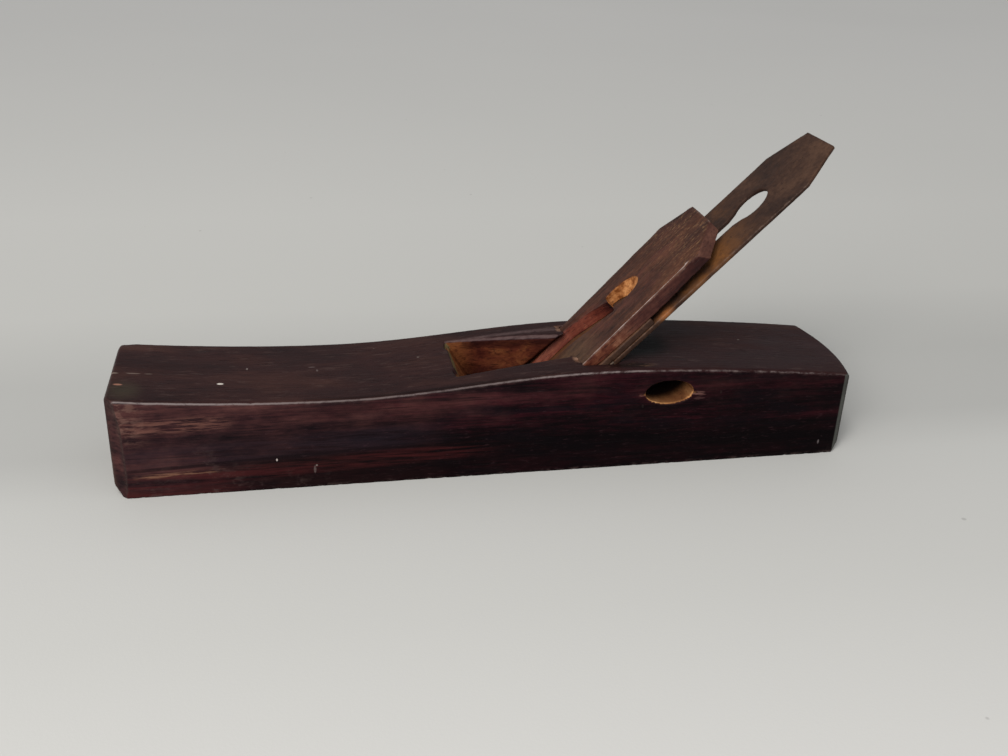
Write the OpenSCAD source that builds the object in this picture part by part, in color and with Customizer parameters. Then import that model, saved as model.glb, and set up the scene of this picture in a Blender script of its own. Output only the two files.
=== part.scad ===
// Wooden bench plane in the East Asian style: a long rosewood stock with a
// saddle-shaped top, a 45 degree bed, a double iron and a forked wedge.
// +X points to the heel, +Z up, the sole lies at z = 0, and the origin is
// the middle of the sole.

/* [Stock] */
// Overall length of the stock from toe to the crown of the heel
stock_l = 290; // [250:1:330]
// Width of the stock
stock_w = 53.2; // [51:0.1:60]
// Height at the toe end
toe_h = 40.3; // [38:0.1:46]
// Lowest height of the saddle, in front of the throat
dip_h = 35.9; // [33:0.1:38]
// Highest point, just behind the wedge
crest_h = 42.2; // [40:0.1:46]
// Height at the heel end
heel_h = 35.1; // [32:0.1:40]
// How far the heel bows out between its corners
heel_bow = 2.8; // [1:0.1:5]
// Radius that hands have worn on the near long top edge
near_arris_r = 1.8; // [0.8:0.1:4]
// Radius that hands have worn on the far long top edge
far_arris_r = 3; // [0.8:0.1:4]
// Length of the oval hole for the cross handle
handle_hole_l = 19.5; // [14:0.5:24]
// Height of the oval hole for the cross handle
handle_hole_h = 10; // [7:0.5:11]

/* [Bed and throat] */
// Angle of the bed that carries the iron
bed_a = 45.3; // [44:0.1:48]
// Where the bed meets the sole
bed_x = 4.2; // [0:0.1:8]
// Opening of the mouth in front of the cutting edge
mouth_gap = 1.8; // [0.8:0.1:3]
// Width of the groove that holds the iron and the wedge
groove_w = 39.4; // [38.8:0.1:41]
// Width of the throat at its front edge, on top
throat_front_w = 32; // [28:0.5:35]
// Width of the throat between the abutments, on top
throat_back_w = 19; // [16:0.5:24]

/* [Irons] */
// Width of the plane iron
iron_w = 38.4; // [36:0.1:38.6]
// Length of the plane iron
iron_l = 176; // [165:1:190]
// Thickness of the iron at its cutting edge
iron_edge_t = 2.7; // [2.4:0.1:3.2]
// Thickness of the iron at its top end
iron_top_t = 1.6; // [1.2:0.1:2]
// Width of the narrow part of the slot
slot_w = 5.4; // [5.2:0.1:6]
// Length of the cap iron
cap_l = 81.5; // [76:0.5:86]
// Thickness of the cap iron
cap_t = 2.8; // [2.4:0.1:3]
// Radius of the cap screw's shank
screw_r = 2.45; // [2:0.05:2.5]

/* [Wedge] */
// Place of the wedge's top end, measured up the bed
wedge_top_s = 121.5; // [115:0.5:126]
// Place of the tips of its two legs, measured up the bed
wedge_tip_s = 18; // [14:0.5:24]
// Width of the fork slot between the tips of the legs
fork_w = 11; // [9:0.5:12]

/* [Hidden] */
$fn = 48;

// Ends of the stock and the places where its top line turns
toe_x = -stock_l / 2;
heel_x = stock_l / 2;
dip_x = toe_x + 82;
crest_x = dip_x + 102;
top_steps = 72;
block_h = 70;
past = 5;

// Corner cuts seen from above: along the side, then across the end
corner_l = 3.7;
corner_w = 4.2;
heel_corner_l = 2.7;
heel_corner_w = 5.2;
far_corner_r = 5;
handle_hole_at = [64.9, 31.9];

// The heel's bow is an arc about a point on the middle line
heel_half = stock_w / 2 - corner_w;
heel_r = (heel_half * heel_half + heel_bow * heel_bow) / (2 * heel_bow);
end_cut_l = 2.4;
end_cut_h = 4.2;
end_top_cut = 1.2;
end_top_rise = 0.3;

// Front wall of the throat: a steep wear above the sole, then two slopes
edge_x = bed_x - iron_edge_t / sin(bed_a);
mouth_x = edge_x - mouth_gap;
wear_h = 5;
wall_mid = [-8.1, 23.4];
wall_top = [-17.3, 37.9];

// The throat widens downwards until it is as wide as the groove. Each
// abutment ends towards the toe in a nose, set back from its own face.
throat_low_h = 7;
throat_high_h = 48;
nose_back = 2.4;
nose_l = 2.6;
nose_w = 2.2;
mouth_seam = 0.3;

// A worn bevel along each long top edge of the throat, deeper at the nose
bevel_start = [-17.6, 16.4];
bevel_end = [28.5, 9.7];
bevel_w = [0.4, 1.3];

// Abutment faces lie parallel to the wedge's front
wedge_front_t = 9.1;
wedge_front_rise = 0.0236;
abut_gap = 0.12;

// Slack between the pieces that slide on one another
bed_gap = 0.05;
cap_gap = 0.03;
seat_gap = 0.04;
screw_gap = 0.05;
head_gap = 0.1;

// Iron and cap iron faces, as heights above the bed at a distance s up it
edge_lift = 0.15;
edge_s = -iron_edge_t / tan(bed_a) + edge_lift;
iron_end_s = edge_s + iron_l;
iron_taper = (iron_edge_t - iron_top_t) / iron_l;
taper_a = atan(iron_taper);
grind_a = 28;
clip_l = 17.8;
clip_near_w = 8.7;
clip_far_w = 7.7;
steel_t = 0.9;
steel_l = 58;
slot_low_s = 34;
key_s = 137.3;
key_l = 8.2;
key_w = 6.1;
neck_s = 127;
neck_l = 6;
neck_w = 4.5;

// The cap iron touches only with its lip, and a hollow behind the lip keeps
// the rest clear
cap_setback = 0.8;
cap_s = edge_s + cap_setback;
nose_slope_l = 9;
lip_h = 1.7;
lip_lean = 0.8;
hollow_d = 0.35;
hollow_u = [3, 26];

// The screw comes from behind, through the slot, into the cap iron
screw_s = 50;
screw_u = screw_s - cap_s;
screw_end_gap = 0.2;
head_r = 5.5;
head_t = 2.8;
head_edge_h = 0.6;
head_edge_r = 0.9;
driver_w = 1.2;
driver_d = 1.2;
channel_w = 13;
channel_d = 4.3;
channel_low_s = 34;

// Wedge
leg_thin_s = 42;
tip_t = 1.7;
ease_s = 84;
ease_rise = 0.061;
wedge_low_w = 35.2;
wedge_high_w = 39;
fork_end = [71.2, -4.1];
fork_end_w = 9.5;
fork_near = [44, 2.2];
fork_far = [50, 12.2];
gouge_r = 6;
gouge_at = [77.2, 3.2];
gouge_rise = 40;
gouge_turn = 8;
wedge_high_t = 30;
clip_far = [[106.3, 19.5], [121.5, 13]];
clip_near_s = 108.3;
clip_near_turn = 46;
clip_near_lean = 27;

// Height of the stock's top above the sole at x
function top_h(x) =
    x < dip_x ? dip_h + (toe_h - dip_h) * pow((dip_x - x) / (dip_x - toe_x), 2)
    : x < crest_x ? dip_h + (crest_h - dip_h) * (1 - cos(180 * (x - dip_x) / (crest_x - dip_x))) / 2
    : crest_h - (crest_h - heel_h) * pow((x - crest_x) / (heel_x - crest_x), 1.7);

// Height of a face above the bed, s up the bed
function iron_face(s) = bed_gap + iron_edge_t - iron_taper * (s - edge_s);
function cap_face(s) = iron_face(s) + cap_gap + cap_t;
function wedge_seat(s) = cap_face(s) + seat_gap;
function wedge_front(s) = wedge_front_t + wedge_front_rise * s;
function abut_face(s) = wedge_front(s) + abut_gap;

// A point s up the bed and t above it, as [x, z]
function bed_point(s, t) =
    [bed_x + s * cos(bed_a) - t * sin(bed_a), s * sin(bed_a) + t * cos(bed_a)];

// Where a line through two points crosses the height z
function x_at(a, b, z) = a[0] + (b[0] - a[0]) * (z - a[1]) / (b[1] - a[1]);
function abut_x(z) = x_at(bed_point(0, abut_face(0)), bed_point(60, abut_face(60)), z);
function behind_x(z) = x_at(bed_point(0, 1), bed_point(60, 1), z);
function wall_x(z) =
    z < wear_h ? mouth_x
    : z < wall_mid[1] ? x_at([mouth_x, wear_h], wall_mid, z)
    : x_at(wall_mid, wall_top, z);

// Local X runs up the bed, local Z stands square to it
module on_bed() {
    translate([bed_x, 0, 0]) rotate([0, -bed_a, 0]) children();
}

// A side profile in bed coordinates [s, t], drawn out to a width
module bed_plate(profile, width) {
    on_bed() rotate([90, 0, 0]) linear_extrude(width, center = true) polygon(profile);
}

// Everything below one tangent plane of the rounded top edge. Tilt 0 is the
// top itself, and larger tilts roll over the edge towards the side.
module under_top(tilt, side) {
    arris_r = side > 0 ? far_arris_r : near_arris_r;
    reach = (stock_w / 2 - arris_r) * sin(tilt) + arris_r * (1 - cos(tilt));
    crest = [for (i = [0 : top_steps])
        let (x = toe_x + stock_l * i / top_steps)
        [x, top_h(x) * cos(tilt) + reach]];
    rotate([-side * tilt, 0, 0]) rotate([90, 0, 0])
        linear_extrude(3 * stock_w, center = true)
            polygon(concat(crest, [[heel_x, -block_h], [toe_x, -block_h]]));
}

// Plan of the stock, with a cut near corner and a rounded far corner at the toe
module plan() {
    half = stock_w / 2;
    side_end = heel_x - heel_bow - heel_corner_l;
    far_arc = [for (a = [0 : 15 : 90])
        [toe_x + far_corner_r * (1 - sin(a)), half - far_corner_r * (1 - cos(a))]];
    polygon(concat(
        [[toe_x, -half + corner_w], [toe_x + corner_l, -half], [side_end, -half]],
        [[heel_x, -half + heel_corner_w], [heel_x, half - heel_corner_w], [side_end, half]],
        far_arc));
}

// The ends: a straight toe and a bowed heel, both eased along the bottom and top
module ends() {
    join_x = heel_x - heel_r / 2;
    toe_wall = [[toe_x + end_cut_l, 0], [toe_x, end_cut_h],
        [toe_x, toe_h - end_top_cut], [toe_x + end_top_cut, toe_h + end_top_rise]];
    rotate([90, 0, 0]) linear_extrude(2 * stock_w, center = true)
        polygon(concat(toe_wall, [[toe_x + end_top_cut, block_h], [join_x, block_h], [join_x, 0]]));
    translate([heel_x - heel_r, 0, 0]) rotate_extrude($fn = 180)
        polygon([[0, 0], [heel_r - end_cut_l, 0], [heel_r, end_cut_h],
            [heel_r, heel_h - end_top_cut], [heel_r - end_top_cut, heel_h + end_top_rise],
            [heel_r - end_top_cut, block_h], [0, block_h]]);
}

module blank() {
    intersection() {
        linear_extrude(block_h) plan();
        ends();
        under_top(0, 1);
        under_top(30, 1);
        under_top(60, 1);
        under_top(30, -1);
        under_top(60, -1);
    }
}

// The groove between bed and abutments, behind the throat's front wall
module groove() {
    high_s = 110;
    low_s = -12;
    rotate([90, 0, 0]) linear_extrude(groove_w, center = true) intersection() {
        polygon([bed_point(low_s, 0), bed_point(high_s, 0),
            bed_point(high_s, abut_face(high_s)), bed_point(low_s, abut_face(low_s))]);
        polygon([[mouth_x, -past], [mouth_x, wear_h], wall_mid, [wall_x(block_h), block_h],
            [heel_x, block_h], [heel_x, -past]]);
    }
}

// One level of the throat: half-widths at the front wall, at the abutment's
// nose and beyond the nose, and how far beyond it that is
function level(z, nose_x, front, back, beyond, beyond_l) = [
    [wall_x(z), -front, z], [nose_x, -back, z], [nose_x + beyond_l, -beyond, z],
    [behind_x(z), -beyond, z], [behind_x(z), beyond, z],
    [nose_x + beyond_l, beyond, z], [nose_x, back, z], [wall_x(z), front, z]];

// Half-width of the throat at a height, falling from the groove to its top
function throat_half(top_w, z) =
    groove_w / 2 - (groove_w - top_w) / 2 * (z - throat_low_h) / (crest_h - throat_low_h);

function low_level(z) =
    level(z, wall_x(z) + mouth_seam, groove_w / 2, groove_w / 2, groove_w / 2, mouth_seam);
function high_level(z) =
    level(z, abut_x(z) - nose_back, throat_half(throat_front_w, z),
        throat_half(throat_back_w, z), throat_half(throat_back_w, z) + nose_w, nose_l);

module throat() {
    levels = [low_level(-2), low_level(throat_low_h), high_level(wall_mid[1]), high_level(throat_high_h)];
    n = len(levels[0]);
    walls = [for (k = [0 : len(levels) - 2], i = [0 : n - 1])
        let (a = k * n + i, b = k * n + (i + 1) % n)
        each [[a, a + n, b], [b, a + n, b + n]]];
    polyhedron(
        points = [for (ring = levels) each ring],
        faces = concat(walls,
            [[for (i = [0 : n - 1]) i]],
            [[for (i = [n - 1 : -1 : 0]) (len(levels) - 1) * n + i]]));
}

// A straight worn bevel on one long top edge of the throat. Side is 1 for
// the far edge and -1 for the near one.
module throat_bevel(side) {
    run = bevel_end - bevel_start;
    rise = top_h(bevel_end[0]) - top_h(bevel_start[0]);
    deepen = atan((bevel_w[1] - bevel_w[0]) * sin(45) / norm(run));
    scale([1, side, 1]) translate([bevel_start[0], bevel_start[1], top_h(bevel_start[0])])
        rotate([0, -atan(rise / norm(run)), atan2(run[1], run[0])])
            rotate([45, 0, 0]) rotate([0, deepen, 0])
                translate([0, -past, -bevel_w[0] * sin(45)]) cube([norm(run), 2 * past, 2 * past]);
}

// Channel in the bed that the screw's head slides in
module channel() {
    on_bed() translate([0, 0, -channel_d]) {
        translate([channel_low_s, 0, 0]) cylinder(h = channel_d + 1, d = channel_w);
        translate([channel_low_s, -channel_w / 2, 0]) cube([iron_l, channel_w, channel_d + 1]);
    }
}

module stock() {
    color("#3a2422") difference() {
        blank();
        groove();
        throat();
        throat_bevel(1);
        throat_bevel(-1);
        channel();
        handle_hole();
    }
}

// The oval hole from side to side for the cross handle
module handle_hole() {
    translate([handle_hole_at[0], 0, handle_hole_at[1]]) rotate([90, 0, 0])
        linear_extrude(2 * stock_w, center = true)
            polygon([for (a = [0 : 10 : 350])
                [handle_hole_l / 2 * cos(a), handle_hole_h / 2 * sin(a)]]);
}

// Slot of the iron: narrow, then widening to an oval at its upper end
module iron_slot() {
    translate([slot_low_s, 0]) circle(d = slot_w);
    translate([slot_low_s, -slot_w / 2]) square([key_s - slot_low_s, slot_w]);
    polygon([for (a = [0 : 10 : 350]) [key_s + key_l * cos(a), key_w * sin(a)]]);
    polygon([[neck_s, -slot_w / 2], [neck_s + neck_l, -neck_w], [neck_s + neck_l, neck_w],
        [neck_s, slot_w / 2]]);
}

// Outline of the iron seen square to the bed, with clipped top corners
module iron_outline() {
    half = iron_w / 2;
    difference() {
        polygon([[edge_s, -half], [iron_end_s - clip_l, -half], [iron_end_s, -half + clip_near_w],
            [iron_end_s, half - clip_far_w], [iron_end_s - clip_l, half], [edge_s, half]]);
        iron_slot();
    }
}

// The whole tapered iron, ground bevel down
module iron_blank() {
    intersection() {
        on_bed() linear_extrude(2 * iron_edge_t) iron_outline();
        bed_plate([[edge_s, iron_face(edge_s)], [edge_s + iron_edge_t / tan(grind_a), bed_gap],
            [iron_end_s, bed_gap], [iron_end_s, iron_face(iron_end_s)]], 2 * iron_w);
    }
}

// The stretch of the iron's front that is hard steel
module steel_zone() {
    bed_plate([[-past, iron_face(-past) - steel_t], [steel_l, iron_face(steel_l) - steel_t],
        [steel_l, 2 * iron_edge_t], [-past, 2 * iron_edge_t]], 2 * iron_w);
}

module plane_iron() {
    color("#4a3a30") difference() {
        iron_blank();
        steel_zone();
    }
}

module steel_face() {
    color("#6b6660") intersection() {
        iron_blank();
        steel_zone();
    }
}

// Local X runs up the iron's front face from the cap iron's lower edge
module on_iron() {
    on_bed() translate([cap_s, 0, iron_face(cap_s)]) rotate([0, taper_a, 0]) children();
}

module cap_iron() {
    underside = [for (i = [0 : 8])
        [hollow_u[0] + (hollow_u[1] - hollow_u[0]) * i / 8, hollow_d * sin(180 * i / 8)]];
    nose = [for (a = [90 : -15 : 30])
        [nose_slope_l - (nose_slope_l - lip_lean) * cos(a) / cos(30),
            cap_t - 2 * (cap_t - lip_h) * (1 - sin(a))]];
    color("#4d4038") on_iron() translate([0, 0, cap_gap]) difference() {
        rotate([90, 0, 0]) linear_extrude(iron_w, center = true)
            polygon(concat([[0, 0]], underside, [[cap_l, 0], [cap_l, cap_t]], nose));
        translate([screw_u, 0, -1]) cylinder(h = cap_t + 2, r = screw_r + screw_gap);
    }
}

module cap_screw() {
    head_top = bed_gap - iron_face(screw_s) - head_gap;
    head_base = head_top - head_t;
    color("#5a554e") on_iron() translate([screw_u, 0, 0]) difference() {
        rotate_extrude()
            polygon([[0, head_base], [head_r - head_edge_r, head_base], [head_r, head_base + head_edge_h],
                [head_r, head_top], [screw_r, head_top], [screw_r, cap_t - screw_end_gap],
                [0, cap_t - screw_end_gap]]);
        translate([-2 * head_r, -driver_w / 2, head_base - 1]) cube([4 * head_r, driver_w, driver_d + 1]);
    }
}

// Side profile of the wedge: it seats on the cap iron, its legs are thinned
// to their tips, and its upper end is eased away from the iron
module wedge_plate() {
    bed_plate([[wedge_tip_s, wedge_seat(wedge_tip_s)], [ease_s, wedge_seat(ease_s)],
        [wedge_top_s, wedge_seat(ease_s) + ease_rise * (wedge_top_s - ease_s)],
        [wedge_top_s, wedge_front(wedge_top_s)], [leg_thin_s, wedge_front(leg_thin_s)],
        [wedge_tip_s, wedge_seat(wedge_tip_s) + tip_t]], stock_w);
}

module wedge_outline() {
    polygon([[wedge_tip_s, -wedge_low_w / 2], [clip_near_s, -wedge_high_w / 2],
        [wedge_top_s, -wedge_high_w / 2], [wedge_top_s, clip_far[1][1]], clip_far[0],
        [wedge_tip_s, wedge_low_w / 2]]);
}

// The slot leans to one side and widens down to the tips of the legs
module fork_outline() {
    polygon([fork_end, fork_near, [0, fork_near[1]], [0, fork_near[1] + fork_w], fork_far,
        [fork_end[0], fork_end[1] + fork_end_w]]);
}

// Hollow cut down into the end of the slot with a round gouge
module fork_gouge() {
    intersection() {
        translate([gouge_at[0], gouge_at[1], wedge_front(gouge_at[0])])
            rotate([0, 90 - gouge_rise, -gouge_turn])
                cylinder(h = 2 * wedge_high_t, r = gouge_r, center = true);
        translate([fork_end[0], -stock_w / 2, 0]) cube([stock_w, stock_w, 2 * wedge_high_t]);
    }
}

module wedge() {
    color("#4b2c26") difference() {
        intersection() {
            wedge_plate();
            on_bed() linear_extrude(wedge_high_t) wedge_outline();
        }
        on_bed() {
            linear_extrude(wedge_high_t) fork_outline();
            fork_gouge();
            translate([clip_near_s, -wedge_high_w / 2, wedge_front(clip_near_s)])
                rotate([0, 0, clip_near_turn]) rotate([-clip_near_lean, 0, 0])
                    translate([-stock_w, -stock_w, -stock_w]) cube([2 * stock_w, stock_w, 2 * stock_w]);
        }
    }
}

stock();
plane_iron();
steel_face();
cap_iron();
cap_screw();
wedge();
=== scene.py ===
import math
from types import SimpleNamespace

import bpy
import numpy as np
from mathutils import Matrix, Vector


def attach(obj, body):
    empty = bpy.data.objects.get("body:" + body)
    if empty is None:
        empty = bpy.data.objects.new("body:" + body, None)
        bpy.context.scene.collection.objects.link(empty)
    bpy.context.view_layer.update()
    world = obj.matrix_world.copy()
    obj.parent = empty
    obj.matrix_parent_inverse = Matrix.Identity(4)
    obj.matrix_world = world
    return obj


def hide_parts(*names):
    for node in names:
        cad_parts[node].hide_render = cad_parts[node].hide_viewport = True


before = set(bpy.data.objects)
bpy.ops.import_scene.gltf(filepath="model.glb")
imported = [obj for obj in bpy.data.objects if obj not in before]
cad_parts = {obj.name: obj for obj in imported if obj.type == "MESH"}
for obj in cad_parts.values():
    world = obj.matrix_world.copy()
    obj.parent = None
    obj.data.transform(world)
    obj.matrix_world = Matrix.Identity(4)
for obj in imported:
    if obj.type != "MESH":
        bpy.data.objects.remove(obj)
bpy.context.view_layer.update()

# The sizes that the looks share with the solids, in millimetres
MM = 0.001
STOCK_L, STOCK_W = 290.0, 53.2
HALF_W = STOCK_W / 2
TOE_X, HEEL_X = -STOCK_L / 2, STOCK_L / 2
TOE_H, DIP_H, CREST_H, HEEL_H = 40.3, 35.9, 42.2, 35.1
DIP_X, CREST_X = TOE_X + 82, TOE_X + 184
GROOVE_HALF = 19.7
THROAT_X = (-19.5, 62)
ABUTMENT_X = 30.7
HOLE = (64.9, 31.9)
HOLE_HALF = (9.75, 5)
HEEL_CUT_X = 138.5
GRAIN_TILT = math.radians(2.6)
TILT = (0, GRAIN_TILT, 0)

# The bed's frame: s runs up the bed, y across it and t straight out of it
BED_A = math.radians(45.3)
BED_AT = (4.2, 0, 0)
BED_TURN = np.array([
    [math.cos(BED_A), 0, -math.sin(BED_A)],
    [0, 1, 0],
    [math.sin(BED_A), 0, math.cos(BED_A)],
])
WEDGE_EDGE_Y = 17.9
WEDGE_TOP = 121.5
FORK_END = 71.2
SCOOP = (77.2, 3.2)

# How fine each mesh is made, in millimetres, and the most triangles it keeps
STOCK_VOXEL, STOCK_FACES = 0.5, 198000
WEDGE_VOXEL, WEDGE_FACES = 0.34, 150000
WELD = 0.002


def top_h(x):
    """Height of the stock's top along its length."""
    toe = DIP_H + (TOE_H - DIP_H) * ((DIP_X - x) / (DIP_X - TOE_X)) ** 2
    mid = DIP_H + (CREST_H - DIP_H) * (1 - np.cos(np.pi * (x - DIP_X) / (CREST_X - DIP_X))) / 2
    back = np.clip((x - CREST_X) / (HEEL_X - CREST_X), 0, None)
    heel = CREST_H - (CREST_H - HEEL_H) * back ** 1.7
    return np.where(x < DIP_X, toe, np.where(x < CREST_X, mid, heel))


# Numbers: repeatable noise and soft steps
def lattice(i, seed):
    """A repeatable value from -1 to 1 for each whole-number place."""
    i = i.astype(np.int64).astype(np.uint32)
    n = i[:, 0] * np.uint32(374761393) + i[:, 1] * np.uint32(668265263)
    n = n + i[:, 2] * np.uint32(2246822519) + np.uint32(seed * 7919 + 17)
    n = (n ^ (n >> np.uint32(13))) * np.uint32(1274126177)
    n = (n ^ (n >> np.uint32(16))) * np.uint32(2654435761)
    n = n ^ (n >> np.uint32(15))
    return n.astype(np.float64) / 2147483647.5 - 1


def noise(p, size, seed):
    """Smooth noise from -1 to 1. Size is the width of its patches, one number or one each way."""
    q = np.asarray(p, float) / np.asarray(size, float)
    i = np.floor(q)
    f = q - i
    f = f * f * f * (f * (f * 6 - 15) + 10)
    total = 0
    for dx in (0, 1):
        for dy in (0, 1):
            for dz in (0, 1):
                w = ((f[:, 0] if dx else 1 - f[:, 0]) * (f[:, 1] if dy else 1 - f[:, 1])
                     * (f[:, 2] if dz else 1 - f[:, 2]))
                total = total + w * lattice(i + (dx, dy, dz), seed)
    return total


def rough(p, size, seed, octaves):
    """Noise with finer noise on it, each octave half as wide and weaker."""
    size = np.asarray(size, float)
    total, weight = 0, 0
    for k in range(octaves):
        total = total + noise(p, size / 2 ** k, seed + 31 * k) / 1.8 ** k
        weight += 1 / 1.8 ** k
    return total / weight * 1.5


def nicks(p, size, seed, least):
    """Small separate hollows: the highest parts of a rough noise."""
    return np.clip(rough(p, size, seed, 3) - least, 0, 1)


def step(a, b, x):
    """0 up to a, 1 from b, and smooth between. With a above b it falls instead."""
    t = np.clip((x - a) / (b - a), 0, 1)
    return t * t * (3 - 2 * t)


def near(x, centre, half, soft):
    """1 within half of the centre, falling to 0 over soft."""
    return 1 - step(half, half + soft, np.abs(x - centre))


def second_least(*gaps):
    """The second smallest of some distances to faces, which is small along an edge."""
    return np.sort(gaps, axis=0)[1]


def add_object(name, data):
    """Puts an object for some data in the scene."""
    ob = bpy.data.objects.new(name, data)
    bpy.context.scene.collection.objects.link(ob)
    return ob


class Piece:
    """A dense copy of a CAD node's surface, worked in millimetres in a frame of its own."""

    def __init__(self, node, voxel, turn=np.eye(3), origin=(0, 0, 0)):
        self.node, self.turn, self.origin = node, turn, np.asarray(origin, float)
        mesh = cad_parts[node].data.copy()
        co = np.empty(len(mesh.vertices) * 3)
        mesh.vertices.foreach_get("co", co)
        local = (co.reshape(-1, 3) / MM - self.origin) @ self.turn
        mesh.vertices.foreach_set("co", local.ravel())
        self.ob = add_object("work", mesh)
        weld = self.ob.modifiers.new("weld", "WELD")
        weld.merge_threshold = WELD
        remesh = self.ob.modifiers.new("remesh", "REMESH")
        remesh.mode = "VOXEL"
        remesh.voxel_size = voxel * 1
        self.apply()

    def apply(self):
        """Makes the modifiers' result the mesh, and reads it."""
        bpy.context.view_layer.update()
        graph = bpy.context.evaluated_depsgraph_get()
        mesh = bpy.data.meshes.new_from_object(self.ob.evaluated_get(graph))
        self.ob.modifiers.clear()
        self.ob.data = self.mesh = mesh
        p = np.empty(len(mesh.vertices) * 3)
        mesh.vertices.foreach_get("co", p)
        self.p = p.reshape(-1, 3)
        edges = np.empty(len(mesh.edges) * 2, np.int64)
        mesh.edges.foreach_get("vertices", edges)
        self.edges = edges.reshape(-1, 2)
        self.count = np.bincount(edges, minlength=len(self.p)).astype(float)

    def around(self, v):
        """The mean of each point's neighbours, column by column."""
        total = np.empty_like(v)
        for k in range(v.shape[1]):
            total[:, k] = np.bincount(self.edges[:, 0], v[self.edges[:, 1], k], len(v))
            total[:, k] += np.bincount(self.edges[:, 1], v[self.edges[:, 0], k], len(v))
        return total / self.count[:, None]

    def soften(self, share):
        """Moves each point a share of the way to the mean of its neighbours."""
        self.p = self.p + share * (self.around(self.p) - self.p)

    def normals(self):
        """The points' normals, after the mesh has taken up their places."""
        self.mesh.vertices.foreach_set("co", self.p.ravel())
        self.mesh.update()
        n = np.empty(len(self.p) * 3, np.float32)
        self.mesh.vertex_normals.foreach_get("vector", n)
        return n.reshape(-1, 3).astype(float)

    def convex(self, reach):
        """How much each point stands on an outward edge, 0 on a flat and about 1 on a square edge."""
        n = self.normals()
        lift = -((self.around(self.p) - self.p) * n).sum(1)
        e = np.clip(lift / reach, -1, 1)[:, None]
        for _ in range(2):
            e = (e + self.around(e)) / 2
        return np.clip(e[:, 0] * 2, 0, 1), n

    def finish(self, name, body, material, most_faces, values):
        """Cuts the mesh down to a number of triangles and puts it in the scene in place of the node."""
        self.mesh.vertices.foreach_set("co", self.p.ravel())
        self.mesh.update()
        triangles = 2 * len(self.mesh.polygons)
        if triangles > most_faces:
            cut = self.ob.modifiers.new("cut", "DECIMATE")
            cut.ratio = most_faces / triangles
            self.apply()
        world = self.p @ self.turn.T + self.origin
        for key, value in values(self.p, self.normals()).items():
            made = self.mesh.attributes.new(key, "FLOAT", "POINT")
            made.data.foreach_set("value", np.clip(value, 0, 1).astype(np.float32))
        self.mesh.vertices.foreach_set("co", (world * MM).ravel())
        self.mesh.polygons.foreach_set("use_smooth", np.ones(len(self.mesh.polygons), bool))
        self.mesh.update()
        self.mesh.name = self.ob.name = name
        self.mesh.materials.clear()
        self.mesh.materials.append(material)
        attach(self.ob, body)
        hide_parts(self.node)


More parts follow.
